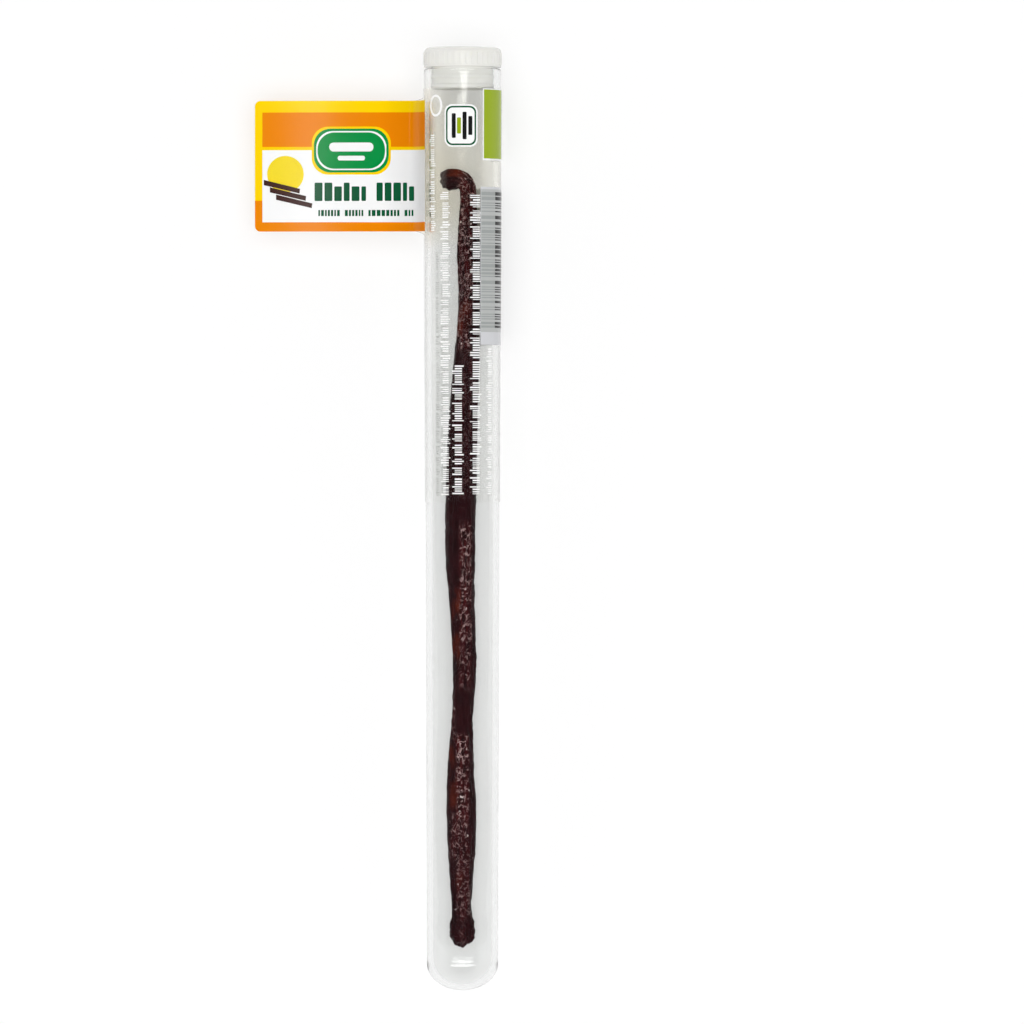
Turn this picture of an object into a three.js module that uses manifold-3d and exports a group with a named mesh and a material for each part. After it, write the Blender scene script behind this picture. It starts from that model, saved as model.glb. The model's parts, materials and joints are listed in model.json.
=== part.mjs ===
// A vanilla pod in its clear, stoppered tube with a wrap-round film label, lying on its side.
//
// Units are millimetres and +Z is up. The tube is built round its own +Y axis, from the round
// end at y = 0 to the top of the stopper at y = OVERALL_LENGTH, and one group then lays it down:
// the origin is on the floor, under the foot of the tube's straight wall, where the round end
// begins. +Y points to the stopper and the label's flag stands out to -X.

import * as THREE from 'three';
import Module from 'manifold-3d';
import { ParametricGeometry } from 'three/addons/geometries/ParametricGeometry.js';
import { mergeVertices } from 'three/addons/utils/BufferGeometryUtils.js';

const wasm = await Module();
wasm.setup();

// ---------------------------------------------------------------- driving dimensions

const OVERALL_LENGTH = 200; // round end to the top of the stopper
const ROUND_STEPS = 56; // facets round the tube, the stopper and the film

// tube: a drafted (slightly conical) plastic tube with a low domed end
const TUBE_LENGTH = 195.5;
const TUBE_FOOT_RADIUS = 7.57; // where the dome begins
const TUBE_MIDDLE_RADIUS = 7.81; // at the film's lower edge
const TUBE_MOUTH_RADIUS = 8.15;
const TUBE_WALL = 1.3;
const BORE_RADIUS = TUBE_MOUTH_RADIUS - TUBE_WALL;
const DOME_HEIGHT = 5.6;
const DOME_STEPS = 8;
const LIP_ROUNDING = 0.3;
const LIP_STEPS = 2;

// stopper: a ribbed rim over the mouth and a hollow plug with two sealing rings inside it
const RIM_RADIUS = 8.36;
const RIM_HEIGHT = 4.2;
const RIM_EDGE_ROUNDING = 1.1;
const RIM_EDGE_STEPS = 5;
const RIB_COUNT = 40;
const RIB_HEIGHT = 0.14;
const RIB_END_MARGIN = 0.5; // smooth band of the rim below the ribs
const PLUG_LENGTH = 4.6;
const PLUG_CLEARANCE = 0.3; // between the plug's body and the tube
const PLUG_WALL = 1.1;
const STOPPER_TOP_WALL = 1.2;
const RING_CLEARANCE = 0.06; // between a sealing ring and the tube
const RING_HALF_HEIGHT = 0.45;
const RING_HEIGHTS = [0.55, 2.6]; // up from the plug's lower end

// film label: a clear sleeve, with its two ends joined into a flag that stands out sideways
const FILM_THICKNESS = 0.12;
const FILM_GAP = 0.05; // between the film and the tube
const SLEEVE_LOW = 103.6;
const SLEEVE_HIGH = 191.3;
const FLAG_LOW = 161.0;
const FLAG_HIGH = 188.8;
const FLAG_REACH = 44.1; // from the tube's axis to the flag's free edge
const FLAG_THICKNESS = 0.26;
const FLAG_CORNER = 1.2;
const FLAG_CORNER_STEPS = 5;
const FLAG_DROOP = 1.4; // of the free edge, below the root
const FLAG_STEPS = 10;
const WEB_ANGLE = THREE.MathUtils.degToRad(32); // where the film lifts off the tube
const WEB_OVERLAP_ANGLE = THREE.MathUtils.degToRad(7);
const WEB_RUN = 1.3; // length over which the two films close up into the flag
const WEB_STEPS = 8;

// pod: [y, centre x, width] of the pod from its knobbed end to the cut tip of its hook
const POD_STATIONS = [
  [9.2, -0.15, 4.0], [12.7, -0.05, 5.7], [16.2, -0.15, 3.9], [21.5, -0.25, 4.5],
  [37.0, -0.25, 6.3], [48.0, -0.35, 5.5], [58.5, 0.05, 4.3], [67.0, 0.5, 4.9],
  [81.0, 0.0, 5.3], [92.0, -0.45, 6.4], [105.0, -0.3, 6.7], [118.0, 0.05, 6.4],
  [131.0, 0.7, 5.5], [146.0, 1.5, 4.4], [156.5, 1.35, 4.8], [165.0, 1.3, 3.5],
  [169.6, 1.3, 3.2], [171.5, 0.65, 3.7], [172.4, -0.9, 4.3], [172.1, -2.6, 4.5], [171.7, -4.6, 2.9],
];
const POD_FLATNESS = 0.88; // depth of the pod over its width
const POD_SIDES = 28;
const POD_RINGS = 104;
const POD_END_RINGS = 5;
const KNOB_ROUNDING = 2.2;
const TIP_ROUNDING = 1.1;
const POD_REST_Z = -3.3; // centre of the pod below the tube's axis, where it lies on the wall
const HOOK_REST_Z = -1.9; // and at the hook, which the narrow wall props up
const HOOK_LIFT_START = 112;
const HOOK_LIFT_END = 172;
const FURROW_COUNT = 7;
const FURROW_DEPTH = 0.075; // as a share of the local radius
const PINCH_DEPTH = 0.045;
const PINCH_LENGTH = 5.3; // spacing of the shallow pinches along the pod

// how the tube lies: its underside is level, with a narrow flat along it to rest on
const FLAT_DEPTH = 0.08;
const REST_FOOT_Y = 8;
const REST_RIM_Y = OVERALL_LENGTH - RIM_EDGE_ROUNDING - 1;

// ---------------------------------------------------------------- materials

const plastic = (name, color, roughness, opacity = 1) =>
  new THREE.MeshStandardMaterial({ name, color, roughness, metalness: 0, opacity, transparent: opacity < 1 });

const clearPlastic = plastic('clear plastic', 0xe9ece9, 0.12, 0.3);
const milkyPlastic = plastic('milky plastic', 0xe6e5e0, 0.4, 0.8);
const clearFilm = plastic('clear film', 0xf2f2f0, 0.15, 0.5);
const podSkin = plastic('pod skin', 0x2d1519, 0.45);

// ---------------------------------------------------------------- solids and booleans

function toSolid(geometry) {
  const bare = geometry.clone();
  bare.deleteAttribute('normal');
  bare.deleteAttribute('uv');
  const merged = mergeVertices(bare, 1e-5);
  const corners = merged.index.array;
  const triVerts = [];
  for (let i = 0; i < corners.length; i += 3) {
    const [a, b, c] = corners.slice(i, i + 3);
    if (a !== b && b !== c && c !== a) triVerts.push(a, b, c);
  }
  const mesh = new wasm.Mesh({
    numProp: 3,
    vertProperties: new Float32Array(merged.attributes.position.array),
    triVerts: new Uint32Array(triVerts),
  });
  return new wasm.Manifold(mesh);
}

function toGeometry(solid) {
  const mesh = solid.getMesh();
  const geometry = new THREE.BufferGeometry();
  geometry.setAttribute('position', new THREE.BufferAttribute(mesh.vertProperties, 3));
  geometry.setIndex(new THREE.BufferAttribute(mesh.triVerts, 1));
  geometry.computeVertexNormals();
  return geometry;
}

function turned(profile) {
  return new THREE.LatheGeometry(profile.map(([r, y]) => new THREE.Vector2(r, y)), ROUND_STEPS);
}

// a quarter of an ellipse as profile points, from angle `from` to angle `to`
function arcProfile(centreR, centreY, radiusR, radiusY, from, to, steps) {
  return Array.from({ length: steps + 1 }, (_, i) => {
    const angle = THREE.MathUtils.lerp(from, to, i / steps);
    return [centreR + radiusR * Math.cos(angle), centreY + radiusY * Math.sin(angle)];
  });
}

// a section drawn in the x-z plane, drawn out along y
function extrudedAlongY(shape, low, high) {
  const geometry = new THREE.ExtrudeGeometry(shape, { depth: high - low, bevelEnabled: false });
  return geometry.rotateX(Math.PI / 2).translate(0, high, 0);
}

function named(name, geometry, material) {
  const mesh = new THREE.Mesh(geometry, material);
  mesh.name = name;
  return mesh;
}

// ---------------------------------------------------------------- tube

// outside radius of the tube's upper part, which the film covers
function tubeRadius(y) {
  return THREE.MathUtils.mapLinear(y, SLEEVE_LOW, TUBE_LENGTH, TUBE_MIDDLE_RADIUS, TUBE_MOUTH_RADIUS);
}

function tubeGeometry() {
  const quarter = Math.PI / 2;
  const dome = arcProfile(0, DOME_HEIGHT, TUBE_FOOT_RADIUS, DOME_HEIGHT, -quarter, 0, DOME_STEPS);
  const lipY = TUBE_LENGTH - LIP_ROUNDING;
  const lipRadius = TUBE_MOUTH_RADIUS - LIP_ROUNDING;
  const innerLipRadius = BORE_RADIUS + LIP_ROUNDING;
  const outerLip = arcProfile(lipRadius, lipY, LIP_ROUNDING, LIP_ROUNDING, 0, quarter, LIP_STEPS);
  const innerLip = arcProfile(innerLipRadius, lipY, LIP_ROUNDING, LIP_ROUNDING, quarter, Math.PI, LIP_STEPS);
  const hollowRadius = TUBE_FOOT_RADIUS - TUBE_WALL;
  const hollowY = DOME_HEIGHT + TUBE_WALL / 2;
  const hollow = arcProfile(0, hollowY, hollowRadius, hollowY - TUBE_WALL, 0, -quarter, DOME_STEPS);
  dome[0][0] = 0;
  hollow[hollow.length - 1][0] = 0;
  const middle = [TUBE_MIDDLE_RADIUS, SLEEVE_LOW];
  const innerMiddle = [TUBE_MIDDLE_RADIUS - TUBE_WALL, SLEEVE_LOW];
  return turned([...dome, middle, ...outerLip, ...innerLip, innerMiddle, ...hollow]);
}

// ---------------------------------------------------------------- stopper

const PLUG_TOP = OVERALL_LENGTH - RIM_HEIGHT;
const PLUG_FOOT = PLUG_TOP - PLUG_LENGTH;

function stopperBodyGeometry() {
  const plugRadius = BORE_RADIUS - PLUG_CLEARANCE;
  const ringRadius = BORE_RADIUS - RING_CLEARANCE;
  const rimRadius = RIM_RADIUS - RIB_HEIGHT;
  const hollowRadius = plugRadius - PLUG_WALL;
  const rings = RING_HEIGHTS.flatMap((height) => {
    const y = PLUG_FOOT + height;
    return [
      [plugRadius, y - RING_HALF_HEIGHT], [ringRadius, y - RING_HALF_HEIGHT / 3],
      [ringRadius, y + RING_HALF_HEIGHT / 3], [plugRadius, y + RING_HALF_HEIGHT],
    ];
  });
  const edge = arcProfile(
    rimRadius - RIM_EDGE_ROUNDING, OVERALL_LENGTH - RIM_EDGE_ROUNDING,
    RIM_EDGE_ROUNDING, RIM_EDGE_ROUNDING, 0, Math.PI / 2, RIM_EDGE_STEPS,
  );
  return turned([
    [0, OVERALL_LENGTH - STOPPER_TOP_WALL], [hollowRadius, OVERALL_LENGTH - STOPPER_TOP_WALL],
    [hollowRadius, PLUG_FOOT], [plugRadius, PLUG_FOOT], ...rings, [plugRadius, PLUG_TOP],
    [rimRadius, PLUG_TOP], ...edge, [0, OVERALL_LENGTH],
  ]);
}

// the ribs are one star-shaped hoop round the rim, with a flat crest on each rib
function ribBandGeometry() {
  const root = RIM_RADIUS - 2 * RIB_HEIGHT;
  const hoopRadius = RIM_RADIUS - 1; // inside of the hoop, within the rim's wall
  const pitch = (2 * Math.PI) / RIB_COUNT;
  const outline = [];
  for (let rib = 0; rib < RIB_COUNT; rib++) {
    for (const [share, radius] of [[-0.35, root], [-0.18, RIM_RADIUS], [0.18, RIM_RADIUS], [0.35, root]]) {
      const angle = (rib + share) * pitch;
      outline.push(new THREE.Vector2(radius * Math.cos(angle), radius * Math.sin(angle)));
    }
  }
  const hoop = new THREE.Shape(outline);
  hoop.holes.push(new THREE.Path().absarc(0, 0, hoopRadius, 0, 2 * Math.PI));
  return extrudedAlongY(hoop, PLUG_TOP + RIB_END_MARGIN, OVERALL_LENGTH - RIM_EDGE_ROUNDING);
}

function stopperSolid() {
  return toSolid(stopperBodyGeometry()).add(toSolid(ribBandGeometry()));
}

// ---------------------------------------------------------------- film label

function filmRadius(y) {
  return tubeRadius(y) + FILM_GAP;
}

function sleeveGeometry() {
  return turned([
    [filmRadius(SLEEVE_LOW), SLEEVE_LOW], [filmRadius(SLEEVE_LOW) + FILM_THICKNESS, SLEEVE_LOW],
    [filmRadius(SLEEVE_HIGH) + FILM_THICKNESS, SLEEVE_HIGH], [filmRadius(SLEEVE_HIGH), SLEEVE_HIGH],
    [filmRadius(SLEEVE_LOW), SLEEVE_LOW],
  ]);
}

// the closed outline of a strip of even thickness along a centre line in the x-z plane
function stripShape(centreLine, thickness) {
  const sides = [1, -1].map((side) => centreLine.map((point, i) => {
    const before = centreLine[Math.max(i - 1, 0)];
    const after = centreLine[Math.min(i + 1, centreLine.length - 1)];
    const along = after.clone().sub(before).normalize();
    return new THREE.Vector2(-along.y, along.x).multiplyScalar((side * thickness) / 2).add(point);
  }));
  return new THREE.Shape([...sides[0], ...sides[1].reverse()]);
}

// one film end: from the flag, up or down onto the tube and a little way along the sleeve
function webGeometry(side) {
  const middleY = (FLAG_LOW + FLAG_HIGH) / 2;
  const radius = filmRadius(middleY) + FILM_THICKNESS / 2;
  const onTube = (angle) => new THREE.Vector2(-radius * Math.cos(angle), side * radius * Math.sin(angle));
  const offset = (side * (FLAG_THICKNESS - FILM_THICKNESS)) / 2;
  const apexX = -radius / Math.cos(WEB_ANGLE);
  const lift = new THREE.QuadraticBezierCurve(
    new THREE.Vector2(apexX - WEB_RUN, offset), new THREE.Vector2(apexX, offset), onTube(WEB_ANGLE),
  );
  const centreLine = [...lift.getPoints(WEB_STEPS), onTube(WEB_ANGLE + WEB_OVERLAP_ANGLE / 2),
    onTube(WEB_ANGLE + WEB_OVERLAP_ANGLE)];
  const geometry = extrudedAlongY(stripShape(centreLine, FILM_THICKNESS), FLAG_LOW, FLAG_HIGH);
  const { position } = geometry.attributes;
  for (let i = 0; i < position.count; i++) {
    const draft = (filmRadius(position.getY(i)) + FILM_THICKNESS / 2) / radius;
    position.setX(i, position.getX(i) * draft);
    position.setZ(i, position.getZ(i) * draft);
  }
  return geometry;
}

// the window in the sleeve where its film has lifted off into the flag
function liftedWindowGeometry() {
  const radius = filmRadius(FLAG_HIGH) + FILM_THICKNESS;
  const halfHeight = filmRadius(FLAG_LOW) * Math.sin(WEB_ANGLE + WEB_OVERLAP_ANGLE / 3);
  const window = new THREE.BoxGeometry(radius, FLAG_HIGH - FLAG_LOW, 2 * halfHeight);
  return window.translate(-radius / 2 - 1, (FLAG_LOW + FLAG_HIGH) / 2, 0);
}

function flagRootX() {
  return -(filmRadius(FLAG_HIGH) + FILM_THICKNESS) / Math.cos(WEB_ANGLE) - WEB_RUN / 2;
}

function flagSolid() {
  const rootX = flagRootX();
  const centreLine = Array.from({ length: FLAG_STEPS + 1 }, (_, i) => {
    const share = i / FLAG_STEPS;
    return new THREE.Vector2(THREE.MathUtils.lerp(rootX, -FLAG_REACH, share), -FLAG_DROOP * share * share);
  });
  const sheet = extrudedAlongY(stripShape(centreLine, FLAG_THICKNESS), FLAG_LOW, FLAG_HIGH);
  const outline = new THREE.Shape();
  outline.moveTo(rootX, FLAG_LOW);
  outline.lineTo(rootX, FLAG_HIGH);
  outline.absarc(-FLAG_REACH + FLAG_CORNER, FLAG_HIGH - FLAG_CORNER, FLAG_CORNER, Math.PI / 2, Math.PI);
  outline.absarc(-FLAG_REACH + FLAG_CORNER, FLAG_LOW + FLAG_CORNER, FLAG_CORNER, Math.PI, 1.5 * Math.PI);
  const cutter = new THREE.ExtrudeGeometry(outline, {
    depth: 4 * FLAG_DROOP, bevelEnabled: false, curveSegments: FLAG_CORNER_STEPS,
  });
  return toSolid(sheet).intersect(toSolid(cutter.translate(0, 0, -2 * FLAG_DROOP)));
}

function labelSolid() {
  const sleeve = toSolid(sleeveGeometry()).subtract(toSolid(liftedWindowGeometry()));
  return sleeve.add(toSolid(webGeometry(1))).add(toSolid(webGeometry(-1))).add(flagSolid());
}

// ---------------------------------------------------------------- pod

// x, y of the pod's centre line and its half width, as one curve through the stations
const podCurve = new THREE.CatmullRomCurve3(
  POD_STATIONS.map(([y, x, width]) => new THREE.Vector3(x, y, width / 2)), false, 'centripetal',
);
const POD_LENGTH = podCurve.getLength();

function podRingDistance(share) {
  const ring = share * POD_RINGS;
  const fromTip = POD_RINGS - ring;
  const quarterTurn = (count) => 1 - Math.cos(((count / POD_END_RINGS) * Math.PI) / 2);
  if (ring < POD_END_RINGS) return KNOB_ROUNDING * quarterTurn(ring);
  if (fromTip < POD_END_RINGS) return POD_LENGTH - TIP_ROUNDING * quarterTurn(fromTip);
  return THREE.MathUtils.mapLinear(
    ring, POD_END_RINGS, POD_RINGS - POD_END_RINGS, KNOB_ROUNDING, POD_LENGTH - TIP_ROUNDING,
  );
}

function podEndRounding(distance) {
  const fromTip = POD_LENGTH - distance;
  if (distance < KNOB_ROUNDING) return Math.sqrt(Math.max(0, 1 - (1 - distance / KNOB_ROUNDING) ** 2));
  if (fromTip < TIP_ROUNDING) return Math.sqrt(Math.max(0, 1 - (1 - fromTip / TIP_ROUNDING) ** 2));
  return 1;
}

// lengthwise furrows that wander a little round the pod, and shallow pinches along it
function podRelief(angle, distance) {
  const wander = 0.5 * Math.sin(distance / 17) + 0.3 * Math.sin(distance / 7.3 + 1.1);
  const fading = 0.65 + 0.35 * Math.sin(distance / 9.1 + 2 * angle);
  const furrow = fading * Math.cos(FURROW_COUNT * angle + wander);
  const lobe = 0.6 * Math.cos(2 * angle + distance / 31) + 0.4 * Math.cos(3 * angle - distance / 23);
  const pinch = Math.sin((2 * Math.PI * distance) / PINCH_LENGTH + 2.2 * Math.sin(angle + distance / 13));
  return 1 - FURROW_DEPTH * (0.5 - 0.5 * furrow) + PINCH_DEPTH * (lobe * 0.8 + pinch * 0.5);
}

function podCentreZ(y) {
  const lifted = THREE.MathUtils.smoothstep(y, HOOK_LIFT_START, HOOK_LIFT_END);
  return THREE.MathUtils.lerp(POD_REST_Z, HOOK_REST_Z, lifted);
}

function podGeometry() {
  const surface = (around, along, target) => {
    const distance = podRingDistance(along);
    const centre = podCurve.getPointAt(distance / POD_LENGTH);
    const tangent = podCurve.getTangentAt(distance / POD_LENGTH);
    const sideways = new THREE.Vector2(tangent.y, -tangent.x).normalize();
    const angle = -around * 2 * Math.PI;
    const radius = centre.z * podEndRounding(distance) * podRelief(angle, distance);
    const reach = radius * Math.cos(angle);
    target.set(
      centre.x + sideways.x * reach, centre.y + sideways.y * reach,
      podCentreZ(centre.y) + radius * POD_FLATNESS * Math.sin(angle),
    );
  };
  return new ParametricGeometry(surface, POD_SIDES, POD_RINGS);
}

// ---------------------------------------------------------------- laying it down

function layingGroup() {
  const footDrop = TUBE_FOOT_RADIUS - FLAT_DEPTH;
  const rimDrop = RIM_RADIUS - FLAT_DEPTH;
  const tilt = Math.atan((rimDrop - footDrop) / (REST_RIM_Y - REST_FOOT_Y));
  const group = new THREE.Group();
  group.rotation.x = tilt;
  const heightAtEnd = footDrop * Math.cos(tilt) - REST_FOOT_Y * Math.sin(tilt);
  group.position.set(0, -REST_FOOT_Y * Math.cos(tilt), heightAtEnd);
  group.updateMatrixWorld(true);
  return group;
}

// everything below the floor, seen from the tube's own frame
function floorSolid(group) {
  const thickness = RIM_RADIUS;
  const block = new THREE.BoxGeometry(4 * RIM_RADIUS, 3 * OVERALL_LENGTH, thickness);
  block.translate(0, 0, -thickness / 2).applyMatrix4(group.matrixWorld.clone().invert());
  return toSolid(block);
}

const lying = layingGroup();
const floor = floorSolid(lying);
const onFlat = (solid) => toGeometry(solid.subtract(floor));

lying.add(
  named('tube', onFlat(toSolid(tubeGeometry())), clearPlastic),
  named('stopper', onFlat(stopperSolid()), milkyPlastic),
  named('label', onFlat(labelSolid()), clearFilm),
  named('pod', toGeometry(toSolid(podGeometry())), podSkin),
);

const vanillaPodInTube = new THREE.Group();
vanillaPodInTube.name = 'vanilla_pod_in_tube';
vanillaPodInTube.add(lying);

export default vanillaPodInTube;
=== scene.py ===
import json
import math
import random

import bmesh
import bpy
from mathutils import Matrix, Vector, noise

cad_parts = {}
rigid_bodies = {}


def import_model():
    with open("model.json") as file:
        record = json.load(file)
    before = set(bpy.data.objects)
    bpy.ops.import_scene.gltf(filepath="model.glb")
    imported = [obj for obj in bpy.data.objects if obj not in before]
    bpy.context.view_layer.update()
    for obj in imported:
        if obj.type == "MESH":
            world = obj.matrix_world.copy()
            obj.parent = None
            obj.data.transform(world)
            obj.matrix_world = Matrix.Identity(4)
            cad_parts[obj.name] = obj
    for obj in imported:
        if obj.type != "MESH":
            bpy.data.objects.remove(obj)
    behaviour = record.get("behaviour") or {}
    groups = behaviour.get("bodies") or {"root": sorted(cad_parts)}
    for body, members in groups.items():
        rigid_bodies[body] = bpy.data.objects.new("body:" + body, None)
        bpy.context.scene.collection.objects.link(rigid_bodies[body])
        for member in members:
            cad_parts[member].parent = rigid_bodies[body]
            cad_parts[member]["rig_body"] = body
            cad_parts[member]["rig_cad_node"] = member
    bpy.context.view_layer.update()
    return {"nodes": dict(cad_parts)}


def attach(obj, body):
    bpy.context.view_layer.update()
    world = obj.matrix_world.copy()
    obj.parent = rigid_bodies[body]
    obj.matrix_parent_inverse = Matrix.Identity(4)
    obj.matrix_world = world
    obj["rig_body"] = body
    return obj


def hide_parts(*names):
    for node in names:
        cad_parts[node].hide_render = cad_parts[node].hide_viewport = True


# A vanilla pod in its clear stoppered tube, with a clear film label whose flag stands out
# sideways. Metres, +Z up. The tube lies along +Y, which points to the stopper, and the flag stands
# out to -X. Pieces are modelled round the tube's own axis, from the round end at y = 0, and then
# laid down.

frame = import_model()

MM = 0.001

# ------------------------------------------------------------------ sizes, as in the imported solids

OVERALL_LENGTH = 200 * MM
TUBE_LENGTH = 195.5 * MM
TUBE_FOOT_RADIUS = 7.57 * MM
TUBE_MIDDLE_RADIUS = 7.81 * MM
TUBE_MOUTH_RADIUS = 8.15 * MM
TUBE_WALL = 1.3 * MM
BORE_RADIUS = TUBE_MOUTH_RADIUS - TUBE_WALL
DOME_HEIGHT = 5.6 * MM
LIP_ROUNDING = 0.3 * MM
BRACE_STEP = 0.8 * MM

RIM_RADIUS = 8.36 * MM
RIM_HEIGHT = 4.2 * MM
RIM_EDGE_ROUNDING = 1.1 * MM
RIB_COUNT = 40
RIB_HEIGHT = 0.14 * MM
RIB_END_MARGIN = 0.5 * MM
RIB_SLOPE = 0.06 * MM  # how far a rib draws in on each side
RIB_RISE = 0.6 * RIB_HEIGHT
PLUG_TOP = OVERALL_LENGTH - RIM_HEIGHT
PLUG_FOOT = PLUG_TOP - 4.6 * MM
PLUG_CLEARANCE = 0.3 * MM
PLUG_WALL = 1.1 * MM
STOPPER_TOP_WALL = 1.2 * MM
RING_CLEARANCE = 0.06 * MM
RING_HALF_HEIGHT = 0.45 * MM
RING_HEIGHTS = (0.55 * MM, 2.6 * MM)

FILM_THICKNESS = 0.12 * MM
FILM_GAP = 0.05 * MM
SLEEVE_LOW = 103.6 * MM
SLEEVE_HIGH = 191.3 * MM
FLAG_LOW = 161.0 * MM
FLAG_HIGH = 188.8 * MM
FLAG_REACH = 44.1 * MM
FLAG_THICKNESS = 0.26 * MM
FLAG_CORNER = 1.2 * MM
FLAG_DROOP = 1.4 * MM
FLAG_TRIM = 0.03 * MM  # keeps the drooping sheet's edges within the solid
FLAG_FILM_END_X = -9.9 * MM
FLAG_FILM_STRIP = 2 * MM
WEB_ANGLE = math.radians(32)
WEB_RUN = 1.3 * MM
WEB_HALF_GAP = 0.01 * MM
LIFT_RUN = 1.5 * MM

FLAT_DEPTH = 0.08 * MM
REST_FOOT_Y = 8 * MM
REST_RIM_Y = OVERALL_LENGTH - RIM_EDGE_ROUNDING - 1 * MM

ROUND_STEPS = 160
CUT_THRESHOLD = 1e-7
MERGE_DISTANCE = 1e-6


def laid_down():
    """The tube's own frame in the row frame: its underside is level, and the foot of its wall is
    over the origin."""
    foot_drop = TUBE_FOOT_RADIUS - FLAT_DEPTH
    rim_drop = RIM_RADIUS - FLAT_DEPTH
    tilt = math.atan((rim_drop - foot_drop) / (REST_RIM_Y - REST_FOOT_Y))
    height = foot_drop * math.cos(tilt) - REST_FOOT_Y * math.sin(tilt)
    shift = Matrix.Translation((0, -REST_FOOT_Y * math.cos(tilt), height))
    return shift @ Matrix.Rotation(tilt, 4, "X")


LYING = laid_down()


def linear(red, green, blue):
    """A screen colour, 0 to 255, as the linear colour that a shader takes."""
    def channel(value):
        share = value / 255
        return share / 12.92 if share <= 0.04045 else ((share + 0.055) / 1.055) ** 2.4
    return (channel(red), channel(green), channel(blue), 1)


def smoothstep(value, low, high):
    share = min(max((value - low) / (high - low), 0), 1)
    return share * share * (3 - 2 * share)


# ------------------------------------------------------------------ modelling steps

def pick(obj):
    bpy.ops.object.select_all(action="DESELECT")
    obj.select_set(True)
    bpy.context.view_layer.objects.active = obj


def edit(obj):
    pick(obj)
    bpy.ops.object.mode_set(mode="EDIT")
    bpy.ops.mesh.select_all(action="SELECT")


def done():
    bpy.ops.object.mode_set(mode="OBJECT")


def arc(centre_r, centre_y, radius_r, radius_y, start, end, steps):
    """Points along part of an ellipse, in a turned profile or in a printed outline."""
    angles = [start + (end - start) * step / steps for step in range(steps + 1)]
    return [(centre_r + radius_r * math.cos(a), centre_y + radius_y * math.sin(a)) for a in angles]


def turned(name, profile):
    """Spins a closed profile of (radius, y) points round the tube's axis."""
    bpy.ops.object.select_all(action="DESELECT")
    bpy.ops.mesh.primitive_circle_add(vertices=len(profile))
    obj = bpy.context.object
    obj.name = name
    for vertex, (radius, y) in zip(obj.data.vertices, profile):
        vertex.co = (radius, y, 0)
    edit(obj)
    bpy.ops.mesh.spin(steps=ROUND_STEPS, angle=2 * math.pi, center=(0, 0, 0), axis=(0, 1, 0))
    bpy.ops.mesh.select_all(action="SELECT")
    bpy.ops.mesh.remove_doubles(threshold=MERGE_DISTANCE)
    bpy.ops.mesh.dissolve_degenerate(threshold=MERGE_DISTANCE)
    bpy.ops.mesh.select_all(action="SELECT")
    bpy.ops.mesh.normals_make_consistent(inside=False)
    done()
    return obj


def rest_on_floor(obj):
    """Lays a piece down and cuts the narrow resting flat along its underside."""
    obj.data.transform(LYING)
    edit(obj)
    bpy.ops.mesh.bisect(plane_co=(0, 0, 0), plane_no=(0, 0, 1), use_fill=True, clear_inner=True,
                        threshold=CUT_THRESHOLD)
    done()


def smooth(obj, degrees=35):
    pick(obj)
    bpy.ops.object.shade_smooth_by_angle(angle=math.radians(degrees))


def apply_modifier(obj, kind, **settings):
    pick(obj)
    modifier = obj.modifiers.new(kind.lower(), kind)
    for key, value in settings.items():
        setattr(modifier, key, value)
    bpy.ops.object.modifier_apply(modifier=modifier.name)


def finished(obj, material, replaces=()):
    """Gives a piece its material and its place in the frame."""
    obj.data.materials.clear()
    obj.data.materials.append(material)
    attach(obj, "root")
    if replaces:
        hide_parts(*replaces)
    return obj


# ------------------------------------------------------------------ shader building

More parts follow.
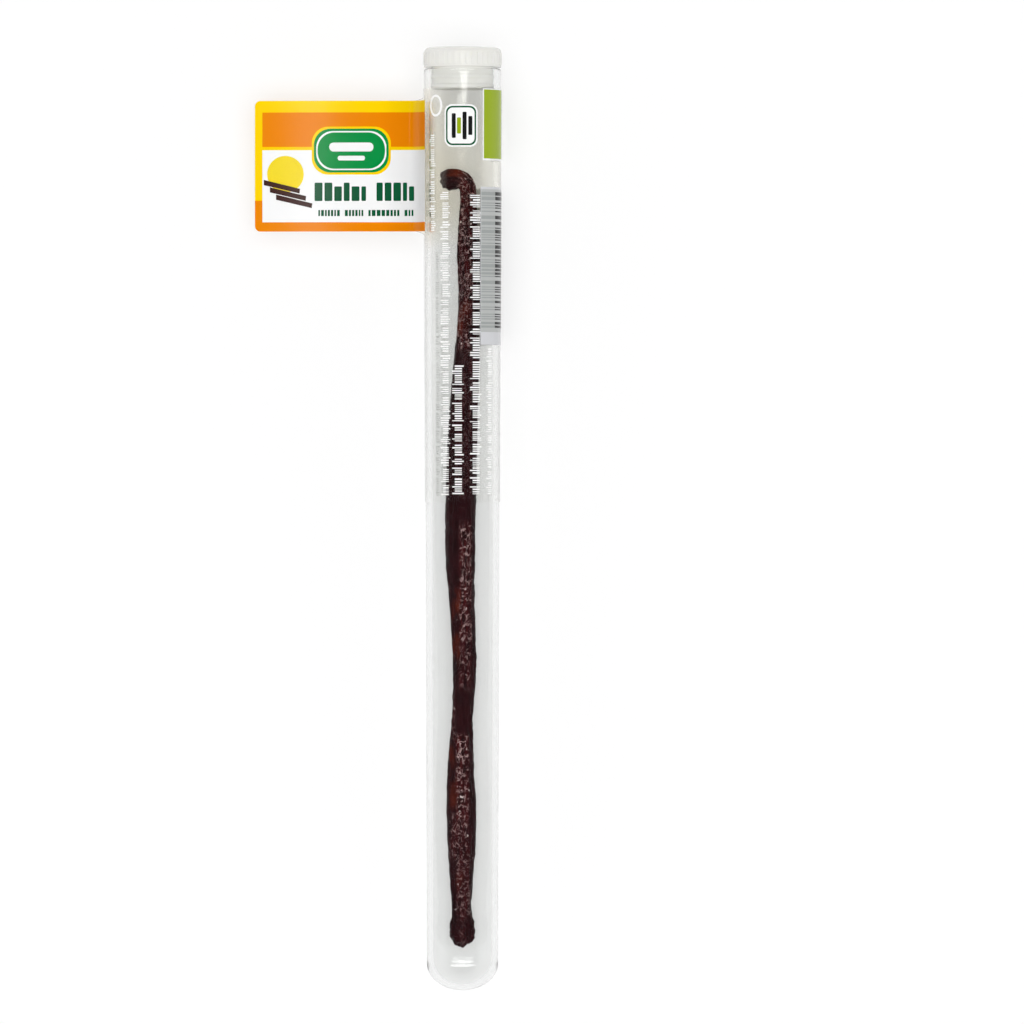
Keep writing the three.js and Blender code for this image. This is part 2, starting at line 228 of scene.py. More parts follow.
class Nodes:
    """Short words for adding and joining the nodes of one node tree."""

    def __init__(self, tree):
        self.tree = tree

    def add(self, kind, **settings):
        node = self.tree.nodes.new(kind)
        for key, value in settings.items():
            setattr(node, key, value)
        return node

    def join(self, source, target):
        self.tree.links.new(source, target)

    def feed(self, socket, value):
        """Joins another node's output to a socket, or sets the socket to a number or a colour."""
        if isinstance(value, bpy.types.NodeSocket):
            self.join(value, socket)
        else:
            socket.default_value = value

    def fed(self, node, **values):
        """Feeds several of a node's sockets by name."""
        for name, value in values.items():
            self.feed(node.inputs[name.replace("_", " ")], value)
        return node

    def place(self):
        """Where a point of the piece is."""
        return self.add("ShaderNodeTexCoord").outputs["Object"]

    def place_parts(self):
        return self.fed(self.add("ShaderNodeSeparateXYZ"), Vector=self.place()).outputs

    def attribute(self, name, output):
        return self.add("ShaderNodeAttribute", attribute_name=name).outputs[output]

    def noise(self, vector, scale, detail=4, roughness=0.5, distortion=0, output="Fac"):
        node = self.fed(self.add("ShaderNodeTexNoise"), Vector=vector, Scale=scale, Detail=detail,
                        Roughness=roughness, Distortion=distortion)
        return node.outputs[output]

    def cells(self, vector, scale, feature):
        node = self.fed(self.add("ShaderNodeTexVoronoi", feature=feature), Vector=vector,
                        Scale=scale)
        return node.outputs["Distance"]

    def stretched(self, vector, scale):
        node = self.fed(self.add("ShaderNodeMapping"), Vector=vector, Scale=scale)
        return node.outputs["Vector"]

    def ramp(self, factor, *stops):
        node = self.fed(self.add("ShaderNodeValToRGB"), Fac=factor)
        elements = node.color_ramp.elements
        while len(elements) < len(stops):
            elements.new(0.5)
        for element, (position, color) in zip(elements, stops):
            element.position = position
            element.color = (*color, 1)
        return node.outputs["Color"]

    def fit(self, value, low, high, to_low, to_high):
        node = self.fed(self.add("ShaderNodeMapRange"), Value=value, From_Min=low, From_Max=high,
                        To_Min=to_low, To_Max=to_high)
        return node.outputs["Result"]

    def mix(self, factor, first, second):
        """Mixes two colours, which are the seventh and eighth sockets of the node."""
        node = self.add("ShaderNodeMix", data_type="RGBA")
        for socket, value in ((0, factor), (6, first), (7, second)):
            self.feed(node.inputs[socket], value)
        return node.outputs[2]

    def math(self, operation, first, second):
        node = self.add("ShaderNodeMath", operation=operation)
        for socket, value in zip(node.inputs, (first, second)):
            self.feed(socket, value)
        return node.outputs["Value"]

    def bump(self, height, distance):
        node = self.fed(self.add("ShaderNodeBump"), Height=height, Strength=1, Distance=distance)
        return node.outputs["Normal"]


def new_material(name, **settings):
    """A material with one Principled shader, its constant settings on the shader's own sockets."""
    material = bpy.data.materials.new(name)
    material.use_nodes = True
    tree = Nodes(material.node_tree)
    shader = material.node_tree.nodes["Principled BSDF"]
    return material, tree, tree.fed(shader, **settings)


def light_passes(material, shader, tint):
    """Lamps shine through clear plastic, a little dimmed, as they do through a thin wall."""
    tree = Nodes(material.node_tree)
    path = tree.add("ShaderNodeLightPath")
    clear = tree.fed(tree.add("ShaderNodeBsdfTransparent"), Color=tint)
    blend = tree.add("ShaderNodeMixShader")
    tree.join(path.outputs["Is Shadow Ray"], blend.inputs["Fac"])
    tree.join(shader.outputs["BSDF"], blend.inputs[1])
    tree.join(clear.outputs["BSDF"], blend.inputs[2])
    surface = material.node_tree.nodes["Material Output"].inputs["Surface"]
    tree.join(blend.outputs["Shader"], surface)


NOISE_LOW, NOISE_HIGH = 0.3, 0.7  # what a noise pattern mostly keeps between


def skin_group():
    """Moulded or rolled plastic: slow waves along the piece and a fine grain, as a height and a
    mask."""
    group = bpy.data.node_groups.new("plastic skin", "ShaderNodeTree")
    for name, in_out in (("Wave size", "INPUT"), ("Grain size", "INPUT"),
                         ("Height", "OUTPUT"), ("Mask", "OUTPUT")):
        group.interface.new_socket(name, in_out=in_out, socket_type="NodeSocketFloat")
    tree = Nodes(group)
    sizes = tree.add("NodeGroupInput").outputs
    results = tree.add("NodeGroupOutput").inputs
    place = tree.place()
    waves = tree.noise(tree.stretched(place, (1, 0.25, 1)), sizes["Wave size"], detail=2)
    grain = tree.noise(place, sizes["Grain size"], detail=5)
    tree.join(tree.math("ADD", waves, tree.math("MULTIPLY", grain, 0.03)), results["Height"])
    tree.join(grain, results["Mask"])
    return group


SKIN = skin_group()


def with_skin(tree, shader, wave_size, grain_size, bump_distance, smoothest, roughest):
    """Puts the plastic skin on a shader: its roughness varies and its surface waves slightly."""
    skin = tree.fed(tree.add("ShaderNodeGroup", node_tree=SKIN), Wave_size=wave_size,
                    Grain_size=grain_size).outputs
    roughness = tree.fit(skin["Mask"], NOISE_LOW, NOISE_HIGH, smoothest, roughest)
    tree.join(roughness, shader.inputs["Roughness"])
    tree.join(tree.bump(skin["Height"], bump_distance), shader.inputs["Normal"])
    return skin["Mask"]


def clear_plastic():
    material, tree, shader = new_material("clear plastic", Base_Color=(0.88, 0.885, 0.88, 1),
                                          IOR=1.49, Transmission_Weight=1)
    with_skin(tree, shader, wave_size=140, grain_size=2600, bump_distance=0.03 * MM,
              smoothest=0.02, roughest=0.06)
    light_passes(material, shader, tint=(0.955, 0.957, 0.955, 1))
    return material


def clear_film():
    """Clear film. Beside the flag's root it carries a painted reflection of the flag's warm colours,
    and a deeper painted warm shade in the narrow strip where it leaves the tube."""
    material, tree, shader = new_material("clear film", IOR=1.3, Transmission_Weight=1)
    with_skin(tree, shader, wave_size=220, grain_size=4200, bump_distance=0.01 * MM,
              smoothest=0.02, roughest=0.08)
    place = tree.place_parts()

    def between(rise_start, rise_end, fall_start, fall_end, beyond):
        """1 over a length of the tube, in mm, nothing below it and this much beyond it."""
        return tree.math("MULTIPLY",
                         tree.fit(place["Y"], rise_start * MM, rise_end * MM, 0, 1),
                         tree.fit(place["Y"], fall_start * MM, fall_end * MM, 1, beyond))

    # painted reflection: a warm tint of the flag's colours in the film beside its root
    painted_flag_reflection = tree.math("MULTIPLY", between(149, 158, 166, 184, 0.25),
                       tree.fit(place["X"], -8 * MM, 7 * MM, 1, 0.35))
    # painted shade: a deeper warm tone in the strip where the film leaves the tube
    painted_web_shade = tree.math("MULTIPLY", between(151, 156, 176, 181, 0),
                        tree.fit(place["X"], -7.4 * MM, -6.6 * MM, 1, 0))
    tone = tree.mix(painted_flag_reflection, (0.996, 0.996, 0.992, 1), (0.96, 0.93, 0.85, 1))
    tree.join(tree.mix(painted_web_shade, tone, (0.88, 0.86, 0.8, 1)), shader.inputs["Base Color"])
    light_passes(material, shader, tint=(0.985, 0.985, 0.98, 1))
    return material


def milky_plastic():
    material, tree, shader = new_material(
        "milky plastic", Base_Color=(0.905, 0.9, 0.865, 1), IOR=1.5, Transmission_Weight=0.25,
        Subsurface_Weight=0.5, Subsurface_Radius=(1.5 * MM, 1.5 * MM, 1.4 * MM),
        Subsurface_Scale=1)
    with_skin(tree, shader, wave_size=300, grain_size=3200, bump_distance=0.01 * MM,
              smoothest=0.14, roughest=0.22)
    light_passes(material, shader, tint=(0.5, 0.5, 0.48, 1))
    return material


def ink(name, color, mottling=0.05, painted_root_shade=None):
    """Printing ink under a gloss film, with the faint mottling of flexographic print. The flag's
    inks get a painted shade, darker towards the flag's root beside the tube."""
    material, tree, shader = new_material(name, Specular_IOR_Level=0.3)
    mask = with_skin(tree, shader, wave_size=160, grain_size=5200, bump_distance=0.01 * MM,
                     smoothest=0.1, roughest=0.17)

    def shade(amount):
        return tuple(min(1, channel * amount) for channel in color[:3]) + (1,)

    tone = tree.mix(mask, shade(1 - mottling), shade(1 + mottling))
    if painted_root_shade:
        # painted shade: the flag's inks darken towards its root beside the tube
        near_root = tree.fit(tree.place_parts()["X"], -17.5 * MM, -8.5 * MM, 0, 1)
        tone = tree.mix(near_root, tone, shade(painted_root_shade))
    tree.join(tone, shader.inputs["Base Color"])
    return material


def wandering(tree, vector, scale, distance):
    """Places shifted this way and that, so that straight lines drawn on them wander."""
    shift = tree.add("ShaderNodeVectorMath", operation="SCALE")
    tree.join(tree.noise(vector, scale, detail=2, output="Color"), shift.inputs[0])
    shift.inputs["Scale"].default_value = distance
    moved = tree.add("ShaderNodeVectorMath", operation="ADD")
    tree.join(vector, moved.inputs[0])
    tree.join(shift.outputs["Vector"], moved.inputs[1])
    return moved.outputs["Vector"]


def pod_skin():
    """Cured vanilla skin: oily near-black brown, rusty in places, with painted highlights: pale
    glints and bright points along crackle lines in bands."""
    material, tree, shader = new_material("cured pod skin", IOR=1.45, Specular_IOR_Level=0.08)
    straight = tree.attribute("straight", "Vector")
    painted_glint_share = tree.attribute("painted_glints", "Fac")
    rusted = tree.attribute("rust", "Fac")
    bent = wandering(tree, straight, scale=1100, distance=1.1 * MM)

    # painted highlights: pale glint lines run round long cells and along fine threads, and break off
    # in gaps
    rims = tree.cells(tree.stretched(bent, (1, 0.4, 1)), 1400, "DISTANCE_TO_EDGE")
    rims = tree.math("MULTIPLY", tree.fit(rims, 0.02, 0.085, 1, 0), 0.8)
    threads = tree.noise(tree.stretched(bent, (1, 0.17, 1)), 2100, 2, 0.6)
    traced = tree.math("MAXIMUM", rims, tree.fit(threads, 0.61, 0.69, 0, 0.8))
    gaps = tree.fit(tree.noise(straight, 1250, 3, 0.65), 0.45, 0.58, 0, 1)
    painted_glints = tree.math("MULTIPLY", tree.math("MULTIPLY", traced, gaps), painted_glint_share)

    # painted highlights: single bright points, most of them on the glint lines
    dots = tree.cells(tree.stretched(bent, (1, 0.55, 1)), 560, "F1")
    painted_sparkles = tree.math("MULTIPLY", tree.fit(dots, 0.06, 0.11, 1, 0),
                       tree.fit(painted_glint_share, 0, 0.5, 0.3, 1))

    streaks = tree.noise(tree.stretched(straight, (1, 0.16, 1)), 1500, 5, 0.6, 0.6)
    pores = tree.noise(tree.stretched(straight, (1, 0.45, 1)), 3400, 3, 0.6)
    patches = tree.noise(tree.stretched(straight, (1, 0.3, 1)), 420, 3, 0.6)
    # painted sheen: the skin is a lighter red where its glints are painted
    lit = tree.math("MULTIPLY", painted_glint_share, tree.fit(streaks, 0.42, 0.62, 0, 0.8))
    rusty = tree.math("MULTIPLY", rusted, tree.fit(patches, 0.42, 0.62, 0, 0.8))
    # the last two colours are painted highlights; the rust is the skin's own colour
    color = linear(27, 5, 8)
    for share, next_color in ((tree.fit(streaks, 0.35, 0.7, 0, 1), linear(47, 13, 18)),
                              (lit, linear(70, 15, 18)), (rusty, linear(98, 34, 16)),
                              (painted_glints, linear(198, 164, 162)), (painted_sparkles, linear(238, 222, 218))):
        color = tree.mix(share, color, next_color)
    tree.join(color, shader.inputs["Base Color"])

    tree.join(tree.fit(pores, NOISE_LOW, NOISE_HIGH, 0.3, 0.5), shader.inputs["Roughness"])
    ridges = tree.math("ADD", streaks, tree.math("MULTIPLY", pores, 0.3))
    height = tree.math("ADD", ridges, tree.math("MULTIPLY", painted_glints, 0.5))
    tree.join(tree.bump(height, 0.25 * MM), shader.inputs["Normal"])
    return material


def light_table():
    """A pale table that glows a little, so that what stands on it throws only a faint shadow."""
    material, tree, shader = new_material("light table", Roughness=0.6, Emission_Strength=0.62,
                                          Emission_Color=(1, 1, 1, 1))
    cloudy = tree.noise(tree.place(), 3, detail=2)
    tone = tree.mix(cloudy, (0.35, 0.35, 0.35, 1), (0.365, 0.365, 0.365, 1))
    tree.join(tone, shader.inputs["Base Color"])
    return material


# ------------------------------------------------------------------ tube

def upper_tube_radius(y):
    """Outside radius of the tube where the film covers it."""
    share = (y - SLEEVE_LOW) / (TUBE_LENGTH - SLEEVE_LOW)
    return TUBE_MIDDLE_RADIUS + (TUBE_MOUTH_RADIUS - TUBE_MIDDLE_RADIUS) * share


def braced(start, end):
    """Rings close to both ends of a long straight wall, so that smooth shading leaves the wall
    straight."""
    start, end = Vector(start), Vector(end)
    step = (end - start).normalized() * BRACE_STEP
    return [tuple(start + step), tuple(end - step)]


def make_tube():
    quarter = math.pi / 2
    lip_y = TUBE_LENGTH - LIP_ROUNDING
    hollow_y = DOME_HEIGHT + TUBE_WALL / 2
    dome = arc(0, DOME_HEIGHT, TUBE_FOOT_RADIUS, DOME_HEIGHT, -quarter, 0, steps=24)
    outer_lip = arc(TUBE_MOUTH_RADIUS - LIP_ROUNDING, lip_y, LIP_ROUNDING, LIP_ROUNDING,
                    0, quarter, steps=5)
    inner_lip = arc(BORE_RADIUS + LIP_ROUNDING, lip_y, LIP_ROUNDING, LIP_ROUNDING,
                    quarter, math.pi, steps=5)
    hollow = arc(0, hollow_y, TUBE_FOOT_RADIUS - TUBE_WALL, hollow_y - TUBE_WALL,
                 0, -quarter, steps=20)
    middle = (TUBE_MIDDLE_RADIUS, SLEEVE_LOW)
    inner_middle = (TUBE_MIDDLE_RADIUS - TUBE_WALL, SLEEVE_LOW)
    outside = [*dome, *braced(dome[-1], middle), middle, *braced(middle, outer_lip[0]), *outer_lip]
    inside = [*inner_lip, *braced(inner_lip[-1], inner_middle), inner_middle,
              *braced(inner_middle, hollow[0]), *hollow]
    tube = turned("tube_wall", [*outside, *inside])
    rest_on_floor(tube)
    smooth(tube)
    return finished(tube, clear_plastic(), ["tube"])


# ------------------------------------------------------------------ stopper

def stopper_profile():
    plug_radius = BORE_RADIUS - PLUG_CLEARANCE
    ring_bulge = BORE_RADIUS - RING_CLEARANCE - plug_radius
    rim_radius = RIM_RADIUS - RIB_HEIGHT
    hollow_radius = plug_radius - PLUG_WALL
    hollow_top = OVERALL_LENGTH - STOPPER_TOP_WALL
    quarter = math.pi / 2
    rings = []
    for height in RING_HEIGHTS:
        rings += arc(plug_radius, PLUG_FOOT + height, ring_bulge, RING_HALF_HEIGHT,
                     -quarter, quarter, steps=8)
    edge = arc(rim_radius - RIM_EDGE_ROUNDING, OVERALL_LENGTH - RIM_EDGE_ROUNDING,
               RIM_EDGE_ROUNDING, RIM_EDGE_ROUNDING, 0, quarter, steps=10)
    return [(0, hollow_top), (hollow_radius, hollow_top), (hollow_radius, PLUG_FOOT),
            (plug_radius, PLUG_FOOT), *rings, (plug_radius, PLUG_TOP), (rim_radius, PLUG_TOP),
            (rim_radius, PLUG_TOP + RIB_END_MARGIN), *edge, (0, OVERALL_LENGTH)]


def raise_ribs(stopper):
    """Every second pair of facets of the rim's wall is raised into a rib."""
    edit(stopper)
    bpy.ops.mesh.select_all(action="DESELECT")
    bpy.ops.mesh.select_mode(type="FACE")
    shell = bmesh.from_edit_mesh(stopper.data)
    facets_per_rib = ROUND_STEPS // RIB_COUNT
    for face in shell.faces:
        centre = face.calc_center_median()
        on_wall = PLUG_TOP + RIB_END_MARGIN < centre.y < OVERALL_LENGTH - RIM_EDGE_ROUNDING
        outside = math.hypot(centre.x, centre.z) > RIM_RADIUS - 3 * RIB_HEIGHT
        turn = (math.degrees(math.atan2(centre.z, centre.x)) % 360) / 360
        facet = round(turn * ROUND_STEPS - 0.5)
        face.select = on_wall and outside and facet % facets_per_rib < facets_per_rib // 2
    bmesh.update_edit_mesh(stopper.data)
    bpy.ops.mesh.inset(thickness=RIB_SLOPE, depth=RIB_RISE)
    done()


def make_stopper():
    stopper = turned("stopper_body", stopper_profile())
    raise_ribs(stopper)
    rest_on_floor(stopper)
    smooth(stopper)
    return finished(stopper, milky_plastic(), ["stopper"])


# ------------------------------------------------------------------ film label

def film_radius(y):
    return upper_tube_radius(y) + FILM_GAP


def lifted(y):
    """0 where the film hugs the tube all round, 1 where it has lifted off into the flag."""
    half = LIFT_RUN / 2
    return smoothstep(y, FLAG_LOW - half, FLAG_LOW + half) * smoothstep(
        -y, -FLAG_HIGH - half, -FLAG_HIGH + half)


def web_point(share, radius, side, spare=0.0):
    """From the flag's root, share 0, to where the film lies on the tube, share 1, as an (x, z)
    point."""
    apart = side * (WEB_HALF_GAP + spare)
    turn_x = -radius / math.cos(WEB_ANGLE)
    root = Vector((turn_x - WEB_RUN, apart))
    turn = Vector((turn_x, apart))
    touch = Vector((-radius * math.cos(WEB_ANGLE), side * radius * math.sin(WEB_ANGLE)))
    return root.lerp(turn, share).lerp(turn.lerp(touch, share), share)


def film_point(turn_angle, y):
    """Inner face of the film: the angle runs from the flag's root, over the top and round to its
    underside."""
    radius = film_radius(y)
    x, z = -radius * math.cos(turn_angle), radius * math.sin(turn_angle)
    side = 1 if turn_angle < math.pi else -1
    from_root = turn_angle if side > 0 else 2 * math.pi - turn_angle
    if from_root < WEB_ANGLE:
        web = web_point(from_root / WEB_ANGLE, radius, side)
        share = lifted(y)
        x, z = x + (web.x - x) * share, z + (web.y - z) * share
    return Vector((x, y, z))


def film_rows():
    """Heights of the film's rows of faces: close together where the film lifts into the flag."""
    rows = []
    for low, high, steps in ((SLEEVE_LOW, FLAG_LOW - MM, 24),
                             (FLAG_LOW - MM, FLAG_LOW + MM, 12),
                             (FLAG_LOW + MM, FLAG_HIGH - MM, 14),
                             (FLAG_HIGH - MM, FLAG_HIGH + MM, 12),
                             (FLAG_HIGH + MM, SLEEVE_HIGH, 2)):
        rows += [low + (high - low) * step / steps for step in range(steps)]
    return [*rows, SLEEVE_HIGH]


def make_sleeve():
    rows = film_rows()
    columns = 2 * ROUND_STEPS
    bpy.ops.object.select_all(action="DESELECT")
    bpy.ops.mesh.primitive_grid_add(x_subdivisions=columns, y_subdivisions=len(rows) - 1, size=2)
    sleeve = bpy.context.object
    sleeve.name = "label_sleeve"
    for vertex in sleeve.data.vertices:
        row = rows[round((vertex.co.y + 1) / 2 * (len(rows) - 1))]
        vertex.co = film_point((vertex.co.x + 1) * math.pi, row)
    edit(sleeve)
    bpy.ops.mesh.remove_doubles(threshold=MERGE_DISTANCE)
    bpy.ops.mesh.normals_make_consistent(inside=False)
    done()
    apply_modifier(sleeve, "SOLIDIFY", thickness=FILM_THICKNESS, offset=1)
    rest_on_floor(sleeve)
    smooth(sleeve, 50)
    return finished(sleeve, CLEAR_FILM, ["label"])


def flag_z(x):
    """Middle of the flag's sheet below the tube's axis, drooping a little towards its free
    edge."""
    root = -film_radius(FLAG_HIGH) / math.cos(WEB_ANGLE) - WEB_RUN / 2
    share = min(max((root - x) / (root + FLAG_REACH), 0), 1)
    return -FLAG_DROOP * share * share


def rounded_flag(inset, right):
    """Outline of the flag, with its two outer corners rounded."""
    corner = FLAG_CORNER - inset
    left = -FLAG_REACH + inset + corner
    low, high = FLAG_LOW + inset, FLAG_HIGH - inset
    top = arc(left, high - corner, corner, corner, math.pi / 2, math.pi, 6)
    foot = arc(left, low + corner, corner, corner, math.pi, 1.5 * math.pi, 6)
    return [(right, high), *top, *foot, (right, low)]


def make_flag_film():
    """The two film layers of the flag, joined."""
    flag = flat_print("flag_film", [rounded_flag(FLAG_TRIM, FLAG_FILM_END_X)], FLAG_FILM_STRIP)
    for vertex in flag.data.vertices:
        vertex.co.z = flag_z(vertex.co.x) - FLAG_THICKNESS / 2
    apply_modifier(flag, "SOLIDIFY", thickness=FLAG_THICKNESS, offset=1)
    flag.data.transform(LYING)
    smooth(flag)
    return finished(flag, CLEAR_FILM)


# ------------------------------------------------------------------ print

PRINT_THICKNESS = 0.012 * MM
PRINT_LIFT = 0.006 * MM
PRINT_STEP = 0.018 * MM
PRINT_END_X = -7.95 * MM
UNDER_PRINT_END_X = -11.5 * MM
SLEEVE_RADIUS = film_radius((SLEEVE_LOW + SLEEVE_HIGH) / 2) + FILM_THICKNESS
SLEEVE_STRIP = 0.3 * MM
FLAG_STRIP = 0.4 * MM
FIELD_LEFT = -42.5 * MM
HALVINGS = 24

# lines of blank text on the sleeve: degrees from the top line, then from, to and height in mm
TEXT_LINES = ((-26, 105.1, 169.6, 2.0), (-6, 105.3, 133.2, 2.2), (21.5, 105.3, 169.0, 2.3),
              (46, 105.3, 136.8, 1.6), (-50, 161.0, 181.4, 1.7), (-126, 105, 157, 1.8),
              (-143, 105, 150, 1.8), (-205, 105, 150, 1.8))
WORD_LETTERS = (3, 9)
LETTER_WIDTHS = (0.55, 1.3)
LETTER_RISES = (0, 0, 0, 0, 0.26, 0.26)  # how far letters reach up, as a share of the line
LETTER_DROPS = (0, 0, 0, 0, 0, 0, 0.18)
BARS_LOW, BARS_HIGH = 140.5 * MM, 168.8 * MM
BAR_WIDTHS = (0.25, 0.25, 0.25, 0.5, 0.75)  # in mm, of the bars and of the gaps between them


def cut_out(outline):
    """Adds one flat printed shape to the mesh being edited: a face through an outline's points."""
    bpy.ops.mesh.primitive_circle_add(vertices=len(outline), fill_type="NGON")
    sheet = bmesh.from_edit_mesh(bpy.context.object.data)
    corners = [vertex for vertex in sheet.verts if vertex.select]
    for corner, (x, y) in zip(corners, outline):
        corner.co = (x, y, 0)


def flat_print(name, outlines, cut_spacing):
    """Printed shapes laid out flat, and cut into narrow strips across x, so that they can be
    curved."""
    bpy.ops.object.select_all(action="DESELECT")
    bpy.ops.mesh.primitive_circle_add(vertices=len(outlines[0]), fill_type="NGON")
    sheet = bpy.context.object
    sheet.name = name
    for corner, (x, y) in zip(sheet.data.vertices, outlines[0]):
        corner.co = (x, y, 0)
    edit(sheet)
    for outline in outlines[1:]:
        cut_out(outline)
    xs = [x for outline in outlines for x, _ in outline]
    cut = math.ceil(min(xs) / cut_spacing) * cut_spacing
    while cut < max(xs):
        bpy.ops.mesh.select_all(action="SELECT")
        bpy.ops.mesh.bisect(plane_co=(cut, 0, 0), plane_no=(1, 0, 0), threshold=CUT_THRESHOLD)
        cut += cut_spacing
    bpy.ops.mesh.select_all(action="SELECT")
    bpy.ops.mesh.normals_make_consistent(inside=False)
    done()
    if sum(face.normal.z for face in sheet.data.polygons) < 0:
        sheet.data.flip_normals()
    return sheet


def on_flag(x, y, side, lift):
    """A point of the flag's printed face, side 1 on top and -1 underneath, and on over the film's
    rise, where the place of x on the web's curve is found by halving."""
    radius = film_radius(y)
    film = FILM_THICKNESS + lift
    root_x = -radius / math.cos(WEB_ANGLE) - WEB_RUN
    if x < root_x:
        return Vector((x, y, flag_z(x) + side * (FLAG_THICKNESS / 2 + lift)))
    low, high = 0.0, 1.0
    for _ in range(HALVINGS):
        middle = (low + high) / 2
        if web_point(middle, radius + film, side, film).x < x:
            low = middle
        else:
            high = middle
    web = web_point(low, radius + film, side, film)
    return Vector((x, y, web.y))


def on_sleeve(around, y, lift):
    """A point of the sleeve's outer face: around is the arc from the top line, towards +X."""
    radius = film_radius(y) + FILM_THICKNESS + lift
    angle = around / SLEEVE_RADIUS
    return Vector((radius * math.sin(angle), y, radius * math.cos(angle)))


def printed(name, outlines, material, level, place, cut_spacing):
    """A layer of ink: shapes laid flat, curved onto the film by place(x, y, lift), and given
    thickness."""
    layer = flat_print(name, outlines, cut_spacing)
    lift = PRINT_LIFT + level * PRINT_STEP
    for vertex in layer.data.vertices:
        vertex.co = place(vertex.co.x, vertex.co.y, lift)
    apply_modifier(layer, "SOLIDIFY", thickness=PRINT_THICKNESS, offset=1)
    layer.data.transform(LYING)
    smooth(layer)
    return finished(layer, material)


def box(left, low, right, high):
    return [(left, low), (right, low), (right, high), (left, high)]


def pill(centre_x, centre_y, half_x, half_y, corner, steps=5):
    """A rectangle with rounded corners."""
    points = []
    for turn, (sx, sy) in enumerate(((1, 1), (-1, 1), (-1, -1), (1, -1))):
        centre = (centre_x + sx * (half_x - corner), centre_y + sy * (half_y - corner))
        points += arc(*centre, corner, corner, turn * math.pi / 2, (turn + 1) * math.pi / 2, steps)
    return points


def oval(centre_x, centre_y, half_x, half_y, steps=40):
    return arc(centre_x, centre_y, half_x, half_y, 0, 2 * math.pi * (1 - 1 / steps), steps - 1)


def word_blocks(start, end, letter, gap, rng):
    """Spans along a line of print: blocks as wide as letters, in groups as long as words."""
    spans = []
    at = start
    while at < end:
        for _ in range(rng.randint(*WORD_LETTERS)):
            width = letter * rng.uniform(*LETTER_WIDTHS)
            if at + width > end:
                return spans
            spans.append((at, at + width))
            at += width + gap
        at += letter + gap
    return spans


def sleeve_line(angle, low, high, height, rng):
    """One line of blank text blocks along the tube, reading upwards, at this angle from the top
    line."""
    middle = math.radians(angle) * SLEEVE_RADIUS
    half = height * 0.35
    marks = []
    for start, end in word_blocks(low, high, 0.27 * MM, 0.22 * MM, rng):
        rise = rng.choice(LETTER_RISES) * height
        drop = rng.choice(LETTER_DROPS) * height
        marks.append(box(middle - half - rise, start, middle + half + drop, end))
    return marks


def half_rings(centre_x, centre_y, half_x, half_y, line):
    """A ring outline as two halves."""
    halves = []
    for start in (0, math.pi):
        outer = arc(centre_x, centre_y, half_x, half_y, start, start + math.pi, 16)
        inner = arc(centre_x, centre_y, half_x - line, half_y - line, start + math.pi, start, 16)
        halves.append([*outer, *inner])
    return halves


def make_sleeve_print():
    """The sleeve's lines of blank text, green field, plain badge, ring and pattern of bars."""
    rng = random.Random(7)

    def layer(name, outlines, ink_name, level):
        printed(name, outlines, INK[ink_name], level, on_sleeve, SLEEVE_STRIP)

    def arc_at(angle):
        return math.radians(angle) * SLEEVE_RADIUS

    lines = []
    for angle, low, high, height in TEXT_LINES:
        lines += sleeve_line(angle, low * MM, high * MM, height * MM, rng)
    layer("white_lines", lines, "white", 0)

    field = box(arc_at(31.5), 175.9 * MM, arc_at(118), 191.1 * MM)
    layer("field_outline", [field], "white", 0)
    inner = box(arc_at(33.3), 176.3 * MM, arc_at(116), 190.9 * MM)
    layer("green_field", [inner], "leaf green", 1)

    badge = (arc_at(-2), 183.2 * MM)
    layer("badge_base", [pill(*badge, 3.55 * MM, 4.5 * MM, 1.6 * MM)], "white", 0)
    layer("badge_ring", [pill(*badge, 3.2 * MM, 4.15 * MM, 1.35 * MM)], "deep green", 1)
    layer("badge_face", [pill(*badge, 2.85 * MM, 3.8 * MM, 1.1 * MM)], "white", 2)

    def badge_bar(across, half_length):
        return pill(badge[0] + across * MM, badge[1], 0.42 * MM, half_length * MM, 0.2 * MM)

    layer("badge_bars", [badge_bar(-1.5, 2.6), badge_bar(0.75, 2.9), badge_bar(1.95, 2.0)],
          "black", 3)
    layer("badge_accent", [badge_bar(-0.4, 1.7)], "leaf green", 3)
    ring = half_rings(arc_at(-43), 187.5 * MM, 1.75 * MM, 2.35 * MM, 0.5 * MM)
    layer("small_ring", ring, "white", 0)

    backing = box(arc_at(28), 136.9 * MM, arc_at(158), 170.3 * MM)
    layer("bar_underprint", [backing], "white", 0)
    layer("bar_backing", [backing], "thin grey", 1)
    # painted shade: a darker grey over the backing, where the far side of the tube lies in shade
    shade = box(arc_at(29), 139.6 * MM, arc_at(158), 169.8 * MM)
    layer("bar_shade", [shade], "shade grey", 2)
    # painted image: faint grey bars stand for the far bars seen through the clear tube
    dark_bars, faint_bars, at = [], [], BARS_LOW
    while at < BARS_HIGH:
        width = rng.choice(BAR_WIDTHS) * MM
        dark_bars.append(box(arc_at(57), at, arc_at(152), at + width))
        faint_bars.append(box(arc_at(29), at, arc_at(57), at + width))
        at += width + rng.choice(BAR_WIDTHS) * MM
    layer("bars", dark_bars, "black", 3)
    layer("faint_bars", faint_bars, "painted ghost grey", 3)


